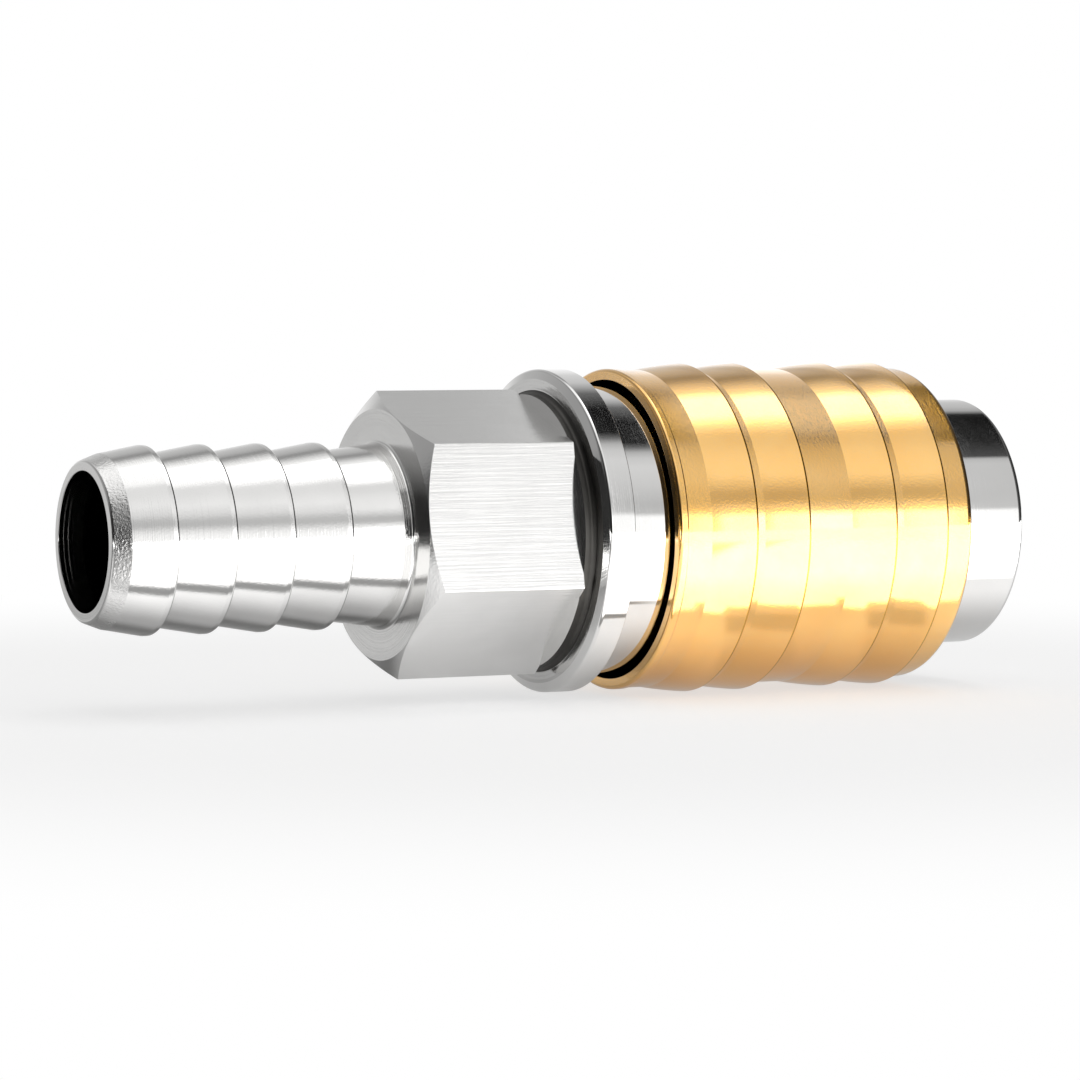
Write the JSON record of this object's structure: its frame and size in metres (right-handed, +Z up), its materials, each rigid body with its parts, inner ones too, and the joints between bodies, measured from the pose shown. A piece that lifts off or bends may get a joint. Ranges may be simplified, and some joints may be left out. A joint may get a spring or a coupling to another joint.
{
  "type": "pneumatic quick coupler",
  "caption": "Pneumatic quick coupler socket with barbed hose tail, hexagon, ball lock, shut-off valve and ribbed pull-back brass sleeve.",
  "frame": {"origin": "centre of the hose tail's end face, on the axis", "axes": "+X along the axis from the hose end to the plug's mouth, +Z up as the coupler lies in the picture"},
  "size_m": [0.0747, 0.0254, 0.0254],
  "materials": {
    "nickel_plating": "bright nickel plating over turned steel, with fine turning marks",
    "satin_brass": "satin brass, lightly mottled",
    "turned_brass": "plain turned brass",
    "spring_steel": "drawn spring steel wire and stamped rings",
    "polished_steel": "polished bearing steel",
    "black_rubber": "moulded black rubber",
    "white_plastic": "moulded off-white plastic"
  },
  "bodies": {
    "coupler": {"hose_tail": "nickel_plating", "tail_seal": "black_rubber", "coupler_body": "nickel_plating", "seat_bush": "turned_brass", "bush_seal": "black_rubber", "plug_seal": "black_rubber", "retaining_ring": "spring_steel", "valve_guide": "white_plastic", "valve_spring": "spring_steel", "sleeve_spring": "spring_steel"},
    "washer": {"spring_washer": "spring_steel"},
    "sleeve": {"release_sleeve": "satin_brass"},
    "valve": {"valve_poppet": "turned_brass", "valve_seal": "black_rubber"},
    "ball_1": {"locking_ball_1": "polished_steel"},
    "ball_2": {"locking_ball_2": "polished_steel"},
    "ball_3": {"locking_ball_3": "polished_steel"},
    "ball_4": {"locking_ball_4": "polished_steel"},
    "ball_5": {"locking_ball_5": "polished_steel"},
    "ball_6": {"locking_ball_6": "polished_steel"}
  },
  "joints": [
    {"name": "sleeve_slide", "type": "slide", "parent": "coupler", "child": "washer", "axis": [-1, 0, 0], "range_m": [0, 0.0035], "stiffness_N_per_m": 1200, "springref_m": -0.006, "deforming": ["sleeve_spring"]},
    {"name": "sleeve_spin", "type": "hinge", "parent": "washer", "child": "sleeve", "pos_m": [0.0591, 0, 0], "axis": [1, 0, 0], "continuous": true},
    {"name": "valve_slide", "type": "slide", "parent": "coupler", "child": "valve", "axis": [-1, 0, 0], "range_m": [0, 0.0035], "stiffness_N_per_m": 700, "springref_m": -0.006, "deforming": ["valve_spring"]},
    {"name": "ball_1_slide", "type": "slide", "parent": "coupler", "child": "ball_1", "axis": [0, 0, 1], "range_m": [0, 0.00085]},
    {"name": "ball_2_slide", "type": "slide", "parent": "coupler", "child": "ball_2", "axis": [0, -0.866, 0.5], "range_m": [0, 0.00085]},
    {"name": "ball_3_slide", "type": "slide", "parent": "coupler", "child": "ball_3", "axis": [0, -0.866, -0.5], "range_m": [0, 0.00085]},
    {"name": "ball_4_slide", "type": "slide", "parent": "coupler", "child": "ball_4", "axis": [0, 0, -1], "range_m": [0, 0.00085]},
    {"name": "ball_5_slide", "type": "slide", "parent": "coupler", "child": "ball_5", "axis": [0, 0.866, -0.5], "range_m": [0, 0.00085]},
    {"name": "ball_6_slide", "type": "slide", "parent": "coupler", "child": "ball_6", "axis": [0, 0.866, 0.5], "range_m": [0, 0.00085]}
  ],
  "couplings": [
    {"joint": "ball_1_slide", "follows": "sleeve_slide", "ratio": 0.24286},
    {"joint": "ball_2_slide", "follows": "sleeve_slide", "ratio": 0.24286},
    {"joint": "ball_3_slide", "follows": "sleeve_slide", "ratio": 0.24286},
    {"joint": "ball_4_slide", "follows": "sleeve_slide", "ratio": 0.24286},
    {"joint": "ball_5_slide", "follows": "sleeve_slide", "ratio": 0.24286},
    {"joint": "ball_6_slide", "follows": "sleeve_slide", "ratio": 0.24286}
  ]
}
